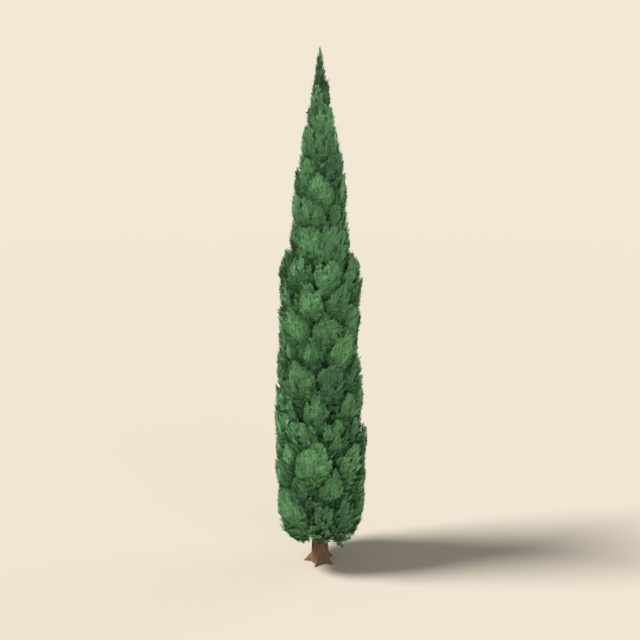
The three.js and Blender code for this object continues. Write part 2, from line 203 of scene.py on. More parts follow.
FOLIAGE_MARGIN = 0.005  # how far tips may pass their plume's outline
WALL_MARGIN = 0.03  # and how far they may pass the wall of their cell
INNER_WALL_MARGIN = 0.06  # and hidden ones, which close the creases between plumes
FOLIAGE_SEED = 20

# Greens: each plume has its own, and its sprays get painted shade, darker greens in creases and
# inside the crown.
GREENS = 10  # from deep to light
TONE_OF_SLOT = {"foliage_mid": 5.3, "foliage_deep": 3.9, "foliage_light": 6.9}
TONE_SPREAD = 1.1  # among plumes of one slot
TONE_SCATTER = 0.4  # among the shoots of one plume
CREASE_WIDTH = 0.06
CREASE_LIFT = 0.6  # how much more steeply sprays stand out there
CREASE_SHADE_STEPS = 0.1  # painted shade: how many greens darker at the wall of a cell, in the crease between plumes
# painted shade: how many greens darker the sprays are, deepest in the crown
HIDDEN_SHADE_STEPS = 0.3
# painted shade: how many greens darker the broad hidden sprays are than their shoot
INNER_SHADE_STEPS = 0.8
TOP_SHADE_STEPS = 2.0  # painted shade: greens darker in the thin top, which is in full light
TIERS_PER_BAND = 3

# ---------------------------------------------------------------- helpers


def number_stream(seed):
    """A repeatable stream of numbers from 0 to 1, the one that the solids are laid out by."""
    state = seed & 0xFFFFFFFF
    first = True
    while True:
        state = (state * 1664525 + 1013904223) & 0xFFFFFFFF
        if not first:
            yield state / 4294967296
        first = False


def swing(stream, share):
    """The next number of a stream, made into one from -share to +share."""
    return (2 * next(stream) - 1) * share


def dot(a, b):
    return (a * b).sum(-1)


def unit(vectors):
    """Vectors at length 1, one or a row of them."""
    vectors = np.asarray(vectors, float)
    return vectors / np.maximum(np.linalg.norm(vectors, axis=-1, keepdims=True), TINY)


def scatter(random, count, spread):
    """Random numbers from -spread to +spread."""
    return spread * (2 * random.random(count) - 1)


def turned(vectors, sideways, angles):
    """Vectors turned by an angle towards others that stand square on them."""
    return vectors * np.cos(angles)[:, None] + sideways * np.sin(angles)[:, None]


def crown_radius(z):
    return np.interp(z, OUTLINE_HEIGHTS, OUTLINE_RADII)


def distance_from_axis(points):
    return np.hypot(points[..., 0], points[..., 1])


def trunk_radius(z):
    share = max(0, 1 - z / TRUNK_TOP)
    return TRUNK_TIP_RADIUS + (TRUNK_RADIUS - TRUNK_TIP_RADIUS) * share**TRUNK_TAPER


def trunk_axis(z):
    sway = TRUNK_SWAY * (1 - math.cos(z / SWAY_LENGTH))
    return np.array([sway * 0.5, TRUNK_SWAY * math.sin(z / SWAY_LENGTH), z])


def root_toes(angle, z):
    ridge = math.cos(ROOT_TOES * (angle - FIRST_TOE) / 2) ** 2
    back = max(0, 1 - z / ROOT_TOE_HEIGHT) ** ROOT_TOE_BLUNTNESS
    return ROOT_TOE_REACH * ridge**ROOT_TOE_SHARPNESS * back


# ---------------------------------------------------------------- where the plumes stand


@dataclass
class Plume:
    """One upright tuft of foliage: its place, its size, its axes and the walls of its cell."""

    tier: int
    mass: int
    outward: np.ndarray
    middle: np.ndarray
    reach: float
    depth: float
    inner_depth: float
    half_width: float
    half_length: float
    lean: float
    tone: float
    is_leader: bool = False

    def __post_init__(self):
        self.up = np.array([0, 0, math.cos(self.lean)]) + self.outward * math.sin(self.lean)
        self.side = unit(np.cross(self.outward, self.up))
        self.out = unit(np.cross(self.up, self.side))
        self.fullness = self.reach / crown_radius(self.middle[2])

    @property
    def size(self):
        """How large its shoots and sprays are, beside those of the largest plumes."""
        if self.is_leader:
            return LEADER_SIZE
        share = self.half_length / (PLUME_HALF_LENGTH * TIER_STEP)
        return min(1, LEAST_SIZE + (1 - LEAST_SIZE) * share)

    def outline(self, points):
        """How far from the trunk's axis it may reach: most at its head, least at its foot."""
        climb = np.clip((points[..., 2] - self.middle[2]) / self.half_length, -1, 1)
        return crown_radius(points[..., 2]) * self.fullness * (1 + HEAD_STAND * climb)

    def build_walls(self, others):
        """A wall towards each other plume: its normal points at that one, and it stands midway."""
        middles = np.array([other.middle for other in others])
        apart = middles - self.middle
        outward = unit((middles + self.middle) * [1, 1, 0])
        around = np.stack([-outward[:, 1], outward[:, 0], np.zeros(len(others))], 1)
        upright = apart[:, 2] * HEIGHT_WEIGHT**2
        normal = np.stack([apart[:, 0], apart[:, 1], upright], 1)
        normal += outward * (SWIRL * dot(apart, around) - RISE * upright)[:, None]
        self.normals = unit(normal)
        self.distances = dot(self.normals, apart) / 2 - CELL_GAP

    def room(self, points):
        """How far points are from the nearest wall of the cell, less than 0 outside it."""
        return (self.distances - (points - self.middle) @ self.normals.T).min(-1)

    def first_wall(self, start, way):
        """The share of each way that is free, and the wall it meets (-1 for none)."""
        room = self.distances - (start - self.middle) @ self.normals.T
        along = way @ self.normals.T
        share = np.where(along > TINY, room / np.maximum(along, TINY), np.inf)
        wall = share.argmin(-1)
        first = np.take_along_axis(share, wall[..., None], -1)[..., 0]
        return np.clip(first, 0, 1), np.where(first < 1, wall, -1)

    def go(self, start, end, walls_met=1):
        """Goes from points in the cell towards others, as far as the cell's walls let it."""
        point = np.array(np.broadcast_to(start, np.shape(end)), float)
        way = end - point
        for _ in range(walls_met):
            share, wall = self.first_wall(point, way)
            meets = (wall >= 0)[..., None]
            point = point + way * share[..., None]
            normal = np.where(meets, self.normals[wall], 0)
            way = way * (1 - share)[..., None]
            way = np.where(meets, way - normal * dot(way, normal)[..., None], 0)
        return point


def ring_radius(crown):
    """How far from the axis the middles of plumes stand, where the crown has this radius."""
    return max(crown - PLUME_DEPTH, crown * SLIM_RING)


def flank_slope(z):
    return (crown_radius(z + FLANK_SPAN) - crown_radius(z - FLANK_SPAN)) / (2 * FLANK_SPAN)


def plume_layout():
    """Every plume, tier by tier from the lowest, and the leader last."""
    stream = number_stream(LAYOUT_SEED)
    plumes = []
    tier = 0
    tier_height = LOWEST_TIER
    while tier_height < HIGHEST_TIER:
        slim = crown_radius(tier_height) / WIDEST
        around = 2 * math.pi * ring_radius(crown_radius(tier_height))
        spacing = PLUME_SPACING_AT_TOP + (PLUME_SPACING - PLUME_SPACING_AT_TOP) * slim
        count = max(FEWEST_PLUMES, math.floor(around / spacing + 0.5))
        step = TIER_STEP_AT_TOP + (TIER_STEP - TIER_STEP_AT_TOP) * slim
        plumes += [
            tier_plume(stream, tier, tier_height, step, around / count, i, count)
            for i in range(count)
        ]
        tier += 1
        tier_height += step
    plumes.append(leader_plume(stream, tier))
    for plume in plumes:
        plume.build_walls([other for other in plumes if other is not plume])
    return plumes


def tier_plume(stream, tier, tier_height, step, spacing, i, count):
    """Plume number i of the count in a tier."""
    angle = (i + (tier % 2) / 2 + swing(stream, ANGLE_JITTER)) * 2 * math.pi / count
    z = tier_height + swing(stream, HEIGHT_JITTER) * step
    reach = crown_radius(z) * (1 + swing(stream, REACH_JITTER))
    ring = ring_radius(reach)
    outward = np.array([math.cos(angle), math.sin(angle), 0])
    per_mass = 1 if count < FEWEST_TO_PAIR else PLUMES_PER_MASS
    return Plume(
        tier=tier,
        mass=min(count // per_mass - 1, i // per_mass),
        outward=outward,
        middle=outward * ring + [0, 0, z],
        reach=reach,
        depth=reach - ring,
        inner_depth=ring - trunk_radius(z) - TRUNK_MARGIN,
        half_width=spacing / 2 * PLUME_FULLNESS,
        half_length=PLUME_HALF_LENGTH * step * (1 + swing(stream, LENGTH_JITTER)),
        lean=PLUME_LEAN * (1 + swing(stream, LEAN_JITTER)) + flank_slope(z),
        tone=next(stream),
    )


def leader_plume(stream, tier):
    """The slim plume on top."""
    return Plume(
        tier=tier,
        mass=0,
        outward=np.array([1.0, 0, 0]),
        middle=np.array([0, 0, LEADER_MIDDLE]),
        reach=crown_radius(LEADER_MIDDLE),
        depth=LEADER_RADIUS,
        inner_depth=LEADER_RADIUS,
        half_width=LEADER_RADIUS,
        half_length=LEADER_HALF_LENGTH,
        lean=0.0,
        tone=next(stream),
        is_leader=True,
    )


# ---------------------------------------------------------------- the dense body of a plume


def core_corners(plume, index):
    """The corners of a plume's dense body, ring by ring from its outward pole, as in the solids."""
    stream = number_stream(1 + index * PLUME_SEED_STEP)
    corner_place = leader_corner if plume.is_leader else core_corner
    corners = []
    for ring in range(CORE_RINGS + 1):
        polar = math.pi * ring / CORE_RINGS
        for corner in range(1 if ring in (0, CORE_RINGS) else CORE_SIDES):
            turn = 2 * math.pi * corner / CORE_SIDES
            x = -math.cos(turn) * math.sin(polar)
            y = math.cos(polar)
            z = math.sin(turn) * math.sin(polar)
            stretch = 1 + swing(stream, CORE_ROUGHNESS)
            corners.append(corner_place(plume, x, y, z, stretch))
    return np.array(corners)


def core_corner(plume, x, y, z, stretch):
    """Goes out from the axis of the cell to its walls, and back into the crown's outline."""
    depth = y * (plume.depth * CORE_DEPTH if y > 0 else plume.inner_depth)
    half_length = plume.half_length * (CORE_INNER_FOOT if x < 0 and y < 0 else 1)
    on_axis = plume.middle + plume.out * depth + plume.up * RISE * depth
    root = plume.go(plume.middle, on_axis)
    reach = ring_radius(plume.reach) + depth
    half_width = min(plume.half_width, math.sqrt(plume.reach**2 - reach**2))
    corner = root + plume.up * x * stretch * half_length - plume.side * z * stretch * half_width
    corner = plume.go(root, corner, WALLS_MET)
    for step in range(CROWN_STEPS):
        point = corner + (root - corner) * step / CROWN_STEPS
        if distance_from_axis(point) <= plume.outline(point):
            return point
    return root


def leader_corner(plume, x, y, z, _):
    """The leader's body is a slim spindle along the trunk's tip."""
    radius = LEADER_RADIUS * (1 - LEADER_TAPER * y)
    corner = plume.middle + [x * radius, -z * radius, y * plume.half_length]
    return plume.go(plume.middle, corner)


def core_faces():
    """Triangles of the body by corner number: its cap, its band and its inner cap."""
    outer = [1 + i for i in range(CORE_SIDES)]
    inner = [1 + CORE_SIDES + i for i in range(CORE_SIDES)]
    last = 1 + 2 * CORE_SIDES
    faces = []
    for i in range(CORE_SIDES):
        after = (i + 1) % CORE_SIDES
        faces.append((0, outer[i], outer[after]))
        faces.append((outer[after], outer[i], inner[after]))
        faces.append((outer[i], inner[i], inner[after]))
        faces.append((inner[i], last, inner[after]))
    return np.array(faces)


def buried(points):
    """How deep inside the crown's outline points are."""
    return crown_radius(points[:, 2]) - distance_from_axis(points)


def face_spots(plume, index, random):
    """Spots spread evenly over a plume's faces, fewer where it is buried, and their normals."""
    corners = core_corners(plume, index)
    triangles = corners[core_faces()]
    crossed = np.cross(triangles[:, 1] - triangles[:, 0], triangles[:, 2] - triangles[:, 0])
    outward = np.sign(dot(crossed, triangles.mean(1) - corners.mean(0)))
    areas = np.linalg.norm(crossed, axis=1) / 2
    wanted = areas * SHOOTS_PER_AREA / plume.size**2
    counts = np.floor(wanted + random.random(len(areas))).astype(int)
    face = np.repeat(np.arange(len(counts)), counts)
    number = np.concatenate([np.arange(count) for count in counts])
    first = (random.random(len(counts))[face] + number * EVEN_STEPS[0]) % 1
    second = (random.random(len(counts))[face] + number * EVEN_STEPS[1]) % 1
    beyond = first + second > 1
    first = np.where(beyond, 1 - first, first)
    second = np.where(beyond, 1 - second, second)
    shares = np.stack([1 - first - second, first, second], 1)
    spots = dot(triangles[face].transpose(0, 2, 1), shares[:, None])
    shown = np.clip(1 - buried(spots) / HIDDEN_DEPTH, FEWEST_SHOOTS, 1)
    kept = random.random(len(face)) < shown
    normals = unit(crossed) * outward[:, None]
    return spots[kept], normals[face[kept]]


# ---------------------------------------------------------------- side shoots


@dataclass
class Shoots:
    """The side shoots of a plume, a row for each: from its axis to a face, then along that."""

    foot: np.ndarray
    start: np.ndarray
    tip: np.ndarray
    normal: np.ndarray
    tone: np.ndarray

    def only(self, chosen):
        columns = (self.foot, self.start, self.tip, self.normal, self.tone)
        return Shoots(*(column[chosen] for column in columns))


def side_shoots(plume, index, tone, random):
    spots, normal = face_spots(plume, index, random)
    head = plume.middle + plume.up * plume.half_length * HEAD_HEIGHT
    head = head + plume.out * plume.depth * HEAD_DEPTH
    aim = plume.up + HEAD_PULL * unit(head - spots)
    aim = unit(aim - normal * dot(aim, normal)[:, None])
    run = SHOOT_RUN * plume.size * (1 + scatter(random, len(spots), SHOOT_RUN_JITTER))[:, None]
    start = spots - aim * run / 2 - normal * SHOOT_SUNK * plume.size
    lift = LEADER_LIFT if plume.is_leader else SHOOT_LIFT
    tip = plume.go(spots, spots + aim * run / 2 + normal * run * lift, WALLS_MET)
    highest = SHOOT_FEET * plume.half_length
    climb = dot(start - plume.middle, plume.up) - SHOOT_REACH_DOWN * plume.size
    foot = plume.middle + plume.up * np.clip(climb, -highest, highest)[:, None]
    return Shoots(foot, start, tip, normal, tone + random.normal(0, TONE_SCATTER, len(spots)))


def bend(foot, start, tip, points):
    """Smooth paths from feet through starts to tips."""
    elbow = start - (tip - start) * SHOOT_ELBOW
    shares = np.linspace(0, 1, points)[:-1]
    curve = [(1 - s) ** 2 * foot + 2 * s * (1 - s) * elbow + s**2 * start for s in shares]
    return np.stack([*curve, start, tip], 1)


def tubes(paths, radii, sides):
    """Closed tubes round paths of equal point count: corners and triangles."""
    count, points = paths.shape[:2]
    ways = unit(np.gradient(paths, axis=1))
    helper = np.where(np.abs(ways[..., 2:]) < NEARLY_UPRIGHT, [0, 0, 1.0], [1.0, 0, 0])
    first = unit(np.cross(ways, helper))
    second = np.cross(ways, first)
    turn = 2 * math.pi * np.arange(sides) / sides
    ring = first[:, :, None] * np.cos(turn)[:, None] + second[:, :, None] * np.sin(turn)[:, None]
    corners = paths[:, :, None] + ring * radii[..., None, None]
    triangles = []
    for level in range(points - 1):
        for i in range(sides):
            a = level * sides + i
            b = level * sides + (i + 1) % sides
            triangles += [(a, b, b + sides), (a, b + sides, a + sides)]
    end = (points - 1) * sides
    for i in range(1, sides - 1):
        triangles += [(0, i + 1, i), (end, end + i, end + i + 1)]
    triangles = np.array(triangles) + (np.arange(count) * points * sides)[:, None, None]
    return corners.reshape(-1, 3), triangles.reshape(-1, 3)


# ---------------------------------------------------------------- sprays of scale leaves


def branchlet(shape, root, direction, length, width):
    """One branchlet as two triangles, folded along its middle."""
    across = Vector((direction.y, -direction.x, 0)) * width / 2
    belly = root + direction * length * WIDEST_AT - Vector((0, 0, width * FOLD))
    corners = [root, belly + across, root + direction * length, belly - across]
    base, right, tip, left = [shape.verts.new(corner) for corner in corners]
    shape.faces.new((base, right, tip))
    shape.faces.new((base, tip, left))


def spray_pattern(random, pairs, stem_width, width):
    """A spray of length 1 along +Y, flat side up: corners and triangles."""
    shape = bmesh.new()
    branchlet(shape, Vector((0, 0, 0)), Vector((0, 1, 0)), 1.0, stem_width)
    count = 2 * pairs
    for i in range(count):
        hand = 1 if i % 2 else -1
        share = i / count
        jitter = random.uniform(0, BRANCHLET_PLACE_JITTER) / count
        along = BRANCHLETS_FROM + BRANCHLETS_OVER * share + jitter
        length = LOWEST_BRANCHLETS * (1 - (1 - HIGHEST_BRANCHLETS) * share)
        length *= random.uniform(*BRANCHLET_LENGTHS)
        angle = BRANCHLET_ANGLE * random.uniform(*BRANCHLET_ANGLES)
        lift = random.uniform(-BRANCHLET_LIFT, BRANCHLET_LIFT)
        direction = Vector((hand * math.sin(angle), math.cos(angle), lift))
        branchlet(shape, Vector((0, along, 0)), direction, length, length * width)
    shape.verts.index_update()
    corners = np.array([vert.co[:] for vert in shape.verts])
    triangles = np.array([[vert.index for vert in face.verts] for face in shape.faces])
    shape.free()
    corners[:, 2] += TIP_CURVE * corners[:, 1] ** 2
    return corners, triangles


def spray_patterns(random):
    """The fine patterns of the outer sprays, and after them the broad ones of the hidden sprays."""
    kinds = range(SPRAY_PATTERNS)
    fine = [spray_pattern(random, pairs=5, stem_width=0.085, width=0.27) for _ in kinds]
    broad = [spray_pattern(random, pairs=4, stem_width=0.12, width=0.45) for _ in kinds]
    return fine + broad


class Sprays:
    """Sprays gathered for one piece: where each stands, its turn, its length, kind and green."""

    def __init__(self):
        self.rows = []

    def add(self, *columns):
        self.rows.append(columns)

    def joined(self):
        return [np.concatenate(column) for column in zip(*self.rows)]


def grow_outer_sprays(plume, shoots, random, sprays):
    """Sprays along the run of every shoot, left and right in turn, and one at its tip."""
    shoots = shoots.only(buried((shoots.start + shoots.tip) / 2) < LEAFY_DEPTH)
    way = shoots.tip - shoots.start
    along = unit(way)
    across = unit(np.cross(along, shoots.normal))
    count = len(way)
    for i in range(SPRAYS_PER_SHOOT + 1):
        if i < SPRAYS_PER_SHOOT:
            share = (i + 0.5 + scatter(random, count, SPRAY_PLACE_JITTER)) / SPRAYS_PER_SHOOT
            hand = 1 if i % 2 else -1
        else:
            share = np.ones(count)
            hand = 0
        angle = hand * SPRAY_ANGLE * (1 + scatter(random, count, SPRAY_ANGLE_JITTER))
        aim = turned(along, across, angle)
        lift = SPRAY_LIFT + scatter(random, count, SPRAY_LIFT_JITTER)
        length = SPRAY_LENGTH * plume.size * (1 - SPRAY_SHORTENING * share)
        length = length * (1 + scatter(random, count, SPRAY_LENGTH_JITTER))
        root = shoots.start + way * share[:, None]
        out_of_crease = crease_share(plume, root) * CREASE_LIFT
        aim = unit(aim + shoots.normal * lift[:, None] + plume.out * out_of_crease[:, None])
        kind = random.integers(0, SPRAY_PATTERNS, count)
        tone = shoots.tone
        add_fitting(
            plume, root, aim, shoots.normal, length, kind, tone, WALL_MARGIN, random, sprays
        )


def grow_inner_sprays(plume, shoots, random, sprays):
    """Broad sprays on the hidden part of every shoot, which close the body under its faces, painted
    darker as shade.
    """
    count = len(shoots.start)
    along = unit(shoots.tip - shoots.start)
    across = unit(np.cross(along, shoots.normal))
    outward = unit(shoots.normal + plume.out)
    for number, share in enumerate(INNER_SPRAYS):
        hand = 1 if number % 2 else -1
        root = shoots.foot + (shoots.start - shoots.foot) * share
        aim = unit(turned(along, across, hand * random.random(count)) + INNER_LEAN * shoots.normal)
        length = INNER_LENGTH * plume.size * (1 + scatter(random, count, SPRAY_LENGTH_JITTER))
        kind = random.integers(SPRAY_PATTERNS, 2 * SPRAY_PATTERNS, count)
        # painted shade: the hidden sprays take darker greens
        tone = shoots.tone - INNER_SHADE_STEPS
        add_fitting(
            plume, root, aim, outward, length, kind, tone, INNER_WALL_MARGIN, random, sprays
        )


def grow_tip_sprays(leader, random, sprays):
    """Small upright sprays in a spiral up the trunk's tip, the last of them the tree's top."""
    climb = np.arange(1, TIP_SPRAYS + 1) / TIP_SPRAYS
    turn = GOLDEN_TURN * np.arange(TIP_SPRAYS)
    outward = np.stack([np.cos(turn), np.sin(turn), np.zeros(TIP_SPRAYS)], 1)
    length = TIP_SPRAY_LENGTH * (1 - TIP_SHORTENING * climb)
    top = TREE_HEIGHT - TOP_GAP - length[-1]
    height = TIP_FOOT + (top - TIP_FOOT) * climb
    root = np.array([way * trunk_radius(z) + [0, 0, z] for way, z in zip(outward, height)])
    aim = unit(outward * (TIP_LEAN * (1 - climb))[:, None] + [0, 0, 1])
    kind = random.integers(0, SPRAY_PATTERNS, TIP_SPRAYS)
    tone = np.full(TIP_SPRAYS, plume_tone(leader))
    add_fitting(leader, root, aim, outward, length, kind, tone, WALL_MARGIN, random, sprays)


def add_fitting(plume, root, aim, normal, length, kind, tone, wall_margin, random, sprays):
    """Adds the sprays that stay in the cell and the crown, some of them only when made shorter."""
    roll = scatter(random, len(root), SPRAY_ROLL)
    flat_up = unit(normal - aim * dot(normal, aim)[:, None])
    facing = turned(flat_up, unit(np.cross(aim, normal)), roll)
    fits = stays_inside(plume, root + aim * length[:, None], wall_margin)
    shorter = length * SHORTENED
    fits_shorter = stays_inside(plume, root + aim * shorter[:, None], wall_margin)
    length = np.where(fits, length, shorter)
    middle = root + aim * length[:, None] / 2
    # Painted shade: greens darker near the cell's walls and deeper in the crown.
    hidden = np.clip(buried(middle) / HIDDEN_DEPTH, 0, 1)
    green = np.round(tone - CREASE_SHADE_STEPS * crease_share(plume, middle) - HIDDEN_SHADE_STEPS * hidden)
    kept = fits | fits_shorter
    sprays.add(*(column[kept] for column in (root, aim, facing, length, kind, green)))


def crease_share(plume, points):
    """1 at the wall of a plume's cell, down to 0 where the crease between plumes ends."""
    return np.clip(1 - plume.room(points) / CREASE_WIDTH, 0, 1)


def stays_inside(plume, tips, wall_margin):
    in_crown = distance_from_axis(tips) < plume.outline(tips) + FOLIAGE_MARGIN
    in_crown &= tips[:, 2] < TREE_HEIGHT
    return in_crown & (plume.room(tips) > -wall_margin)


# ---------------------------------------------------------------- pieces


def link_piece(name, mesh):
    piece = bpy.data.objects.new(name, mesh)
    bpy.context.scene.collection.objects.link(piece)
    return piece


def joined_mesh(name, corners, triangles, materials, paint=None):
    """A piece made from arrays, with the number of each face's material where it has several."""
    mesh = bpy.data.meshes.new(name)
    mesh.from_pydata(corners.tolist(), [], triangles.tolist())
    for material in materials:
        mesh.materials.append(material)
    if paint is not None:
        mesh.polygons.foreach_set("material_index", paint.astype(np.int32))
    mesh.update()
    return link_piece(name, mesh)


def foliage_piece(name, sprays, patterns, greens):
    """All sprays of a piece in one mesh, each a pattern turned, sized and set in its place."""
    root, aim, facing, length, kind, green = sprays.joined()
    across = unit(np.cross(aim, facing))
    facing = np.cross(across, aim)
    green = np.clip(green, 0, len(greens) - 1)
    all_corners = []
    all_triangles = []
    paint = []
    count = 0
    for number, (corners, triangles) in enumerate(patterns):
        chosen = kind == number
        axes = np.stack([across[chosen], aim[chosen], facing[chosen]], 1)
        axes = axes * length[chosen, None, None]
        placed = (corners @ axes + root[chosen, None]).reshape(-1, 3)
        starts = count + len(corners) * np.arange(chosen.sum())
        all_corners.append(placed)
        all_triangles.append((triangles + starts[:, None, None]).reshape(-1, 3))
        paint.append(np.repeat(green[chosen], len(triangles)))
        count += len(placed)
    corners = np.concatenate(all_corners)
    triangles = np.concatenate(all_triangles)
    return joined_mesh(name, corners, triangles, greens, np.concatenate(paint))


def slot_of(plume, plumes):
    """The slot of the mass that a plume is in, which its first plume decides, as in the solids."""
    first = next(p for p in plumes if (p.tier, p.mass) == (plume.tier, plume.mass))
    return list(TONE_OF_SLOT)[int(first.tone * len(TONE_OF_SLOT))]


def plume_tone(plume):
    """A plume's own place among the greens, with painted shade that darkens the thin top."""
    kind = plume.tone * len(TONE_OF_SLOT)
    slimness = 1 - crown_radius(plume.middle[2]) / WIDEST
    tone = list(TONE_OF_SLOT.values())[int(kind)]
    return tone + TONE_SPREAD * (kind % 1 - 0.5) - TOP_SHADE_STEPS * slimness


def make_foliage(plumes, greens, shoot_bark):
    """Every plume's shoots and sprays, joined by slot and by height into pieces."""
    random = np.random.default_rng(FOLIAGE_SEED)
    patterns = spray_patterns(random)
    sprays = {}
    nodes = {}
    paths = []
    for index, plume in enumerate(plumes):
        shoots = side_shoots(plume, index, plume_tone(plume), random)
        key = (slot_of(plume, plumes), plume.tier // TIERS_PER_BAND + 1)
        held = sprays.setdefault(key, Sprays())
        grow_outer_sprays(plume, shoots, random, held)
        grow_inner_sprays(plume, shoots, random, held)
        if plume.is_leader:
            grow_tip_sprays(plume, random, held)
        nodes.setdefault(key, set()).add(f"foliage_tier_{plume.tier + 1:02d}_mass_{plume.mass + 1}")
        paths.append(bend(shoots.foot, shoots.start, shoots.tip, SHOOT_POINTS))
    for slot, band in sorted(sprays):
        piece = foliage_piece(f"{slot}_band_{band}", sprays[slot, band], patterns, greens)
        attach(piece, "root")
        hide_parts(*sorted(nodes[slot, band]))
    paths = np.concatenate(paths)
    taper = np.linspace(SHOOT_RADIUS, SHOOT_TIP_RADIUS, paths.shape[1])
    radii = np.broadcast_to(taper, paths.shape[:2])
    piece = joined_mesh("side_shoots", *tubes(paths, radii, SHOOT_SIDES), [shoot_bark])
    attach(piece, "root")


def make_boughs(plumes, bark):
    """A bough from the trunk up each mass's first plume, with a branch off it up each other one."""
    paths = []
    radii = []
    masses = sorted({(plume.tier, plume.mass) for plume in plumes if not plume.is_leader})
    for mass in masses:
        first, *others = [plume for plume in plumes if (plume.tier, plume.mass) == mass]
        foot_height = first.middle[2] - RISE * distance_from_axis(first.middle)
        trunk_girth = trunk_radius(foot_height)
        girth = min(1, trunk_girth / (2 * STEM_RADIUS))
        foot = trunk_axis(foot_height) + first.outward * trunk_girth * BOUGH_SUNK
        fork = foot + (first.middle - foot) * FORK_AT
        for plume in (first, *others):
            base = foot if plume is first else fork
            radius = STEM_RADIUS if plume is first else STEM_TIP_RADIUS
            top = plume.go(plume.middle, plume.middle + plume.up * plume.half_length * BOUGH_TOP)
            path = bend(base[None], plume.middle[None], top[None], BOUGH_POINTS)
            paths.append(path)
            radii.append(np.linspace(radius, SHOOT_RADIUS, path.shape[1])[None] * girth)
    corners, triangles = tubes(np.concatenate(paths), np.concatenate(radii), BOUGH_SIDES)
    piece = joined_mesh("boughs", corners, triangles, [bark])
    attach(piece, "root")


# ---------------------------------------------------------------- trunk


def bark_radius(angle, z):
    """How far the trunk's surface is from its axis, with its furrowed strips of bark."""
    radius = trunk_radius(z) + FLARE_SPREAD * math.exp(-z / FLARE_HEIGHT) + root_toes(angle, z)
    around = angle + FURROW_TURN * z
    widths = TRUNK_RADIUS / FURROW_WIDTH
    place = Vector((math.cos(around) * widths, math.sin(around) * widths, z / FURROW_LENGTH))
    strips = 1 - abs(noise.noise(place)) * FURROW_SHARPNESS
    flakes = noise.noise(
        Vector((place.x * FLAKES_ACROSS, place.y * FLAKES_ACROSS, place.z * FLAKES_ALONG))
    )
    relief = FURROW_DEPTH * (max(strips, FURROW_FLOOR) - FURROW_MIDDLE) + FLAKE_DEPTH * flakes
    return radius + relief * min(1, trunk_radius(z) / SMOOTH_RADIUS)


def make_trunk(bark):
    shape = bmesh.new()
    bmesh.ops.create_cone(shape, cap_ends=True, segments=BARK_SIDES, radius1=1, radius2=1, depth=1)
    upright = [edge for edge in shape.edges if abs(edge.verts[0].co.z - edge.verts[1].co.z) > 0.5]
    bmesh.ops.subdivide_edges(shape, edges=upright, cuts=BARK_LEVELS - 1, use_grid_fill=True)
    for vert in shape.verts:
        angle = math.atan2(vert.co.y, vert.co.x)
        z = TRUNK_TOP * (vert.co.z + 0.5) ** LEVEL_CROWDING
        radius = bark_radius(angle, z)
        vert.co = Vector(trunk_axis(z)) + Vector((math.cos(angle), math.sin(angle), 0)) * radius
    mesh = bpy.data.meshes.new("bark_trunk")
    shape.to_mesh(mesh)
    shape.free()
    mesh.materials.append(bark)
    mesh.shade_smooth()
    piece = link_piece("bark_trunk", mesh)
    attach(piece, "root")
    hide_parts("trunk")


# ---------------------------------------------------------------- finishes


def linear(red, green, blue):
    """A colour given in everyday 0 to 255 values, as the shader takes it."""
    return tuple(((value / 255 + 0.055) / 1.055) ** 2.4 for value in (red, green, blue)) + (1.0,)


def between(dark, light, share):
    return tuple(a + (b - a) * share for a, b in zip(dark, light))


def new_material(name):
    material = bpy.data.materials.new(name)
    material.use_nodes = True
    tree = material.node_tree
    return material, tree, tree.nodes["Principled BSDF"]


def add_node(tree, kind, **inputs):
    """A node with some of its inputs set, by name with _ for a space."""
    node = tree.nodes.new(kind)
    for name, value in inputs.items():
        node.inputs[name.replace("_", " ")].default_value = value
    return node


def mottling_group():
    """Soft patches of lighter and darker tone, with a mask, for leaves and bark alike."""
    group = bpy.data.node_groups.new("mottling", "ShaderNodeTree")
    for name in ("Dark", "Light"):
        group.interface.new_socket(name, in_out="INPUT", socket_type="NodeSocketColor")
    group.interface.new_socket("Place", in_out="INPUT", socket_type="NodeSocketVector")
    group.interface.new_socket("Scale", in_out="INPUT", socket_type="NodeSocketFloat")
    group.interface.new_socket("Colour", in_out="OUTPUT", socket_type="NodeSocketColor")
    group.interface.new_socket("Mask", in_out="OUTPUT", socket_type="NodeSocketFloat")
    inside = group.nodes.new("NodeGroupInput")
    outside = group.nodes.new("NodeGroupOutput")
    clouds = add_node(group, "ShaderNodeTexNoise", Detail=3.0, Roughness=0.6)
    spread = add_node(group, "ShaderNodeMapRange", From_Min=0.3, From_Max=0.7)
    blend = group.nodes.new("ShaderNodeMix")
    blend.data_type = "RGBA"
    link = group.links.new
    link(inside.outputs["Place"], clouds.inputs["Vector"])
    link(inside.outputs["Scale"], clouds.inputs["Scale"])
    link(clouds.outputs["Fac"], spread.inputs["Value"])
    link(spread.outputs["Result"], blend.inputs["Factor"])
    link(inside.outputs["Dark"], blend.inputs["A"])
    link(inside.outputs["Light"], blend.inputs["B"])
    link(blend.outputs["Result"], outside.inputs["Colour"])
    link(spread.outputs["Result"], outside.inputs["Mask"])
    return group


def add_mottling(tree, group, dark, light, scale):
    patches = tree.nodes.new("ShaderNodeGroup")
    patches.node_tree = group
    patches.inputs["Dark"].default_value = dark
    patches.inputs["Light"].default_value = light
    patches.inputs["Scale"].default_value = scale
    return patches


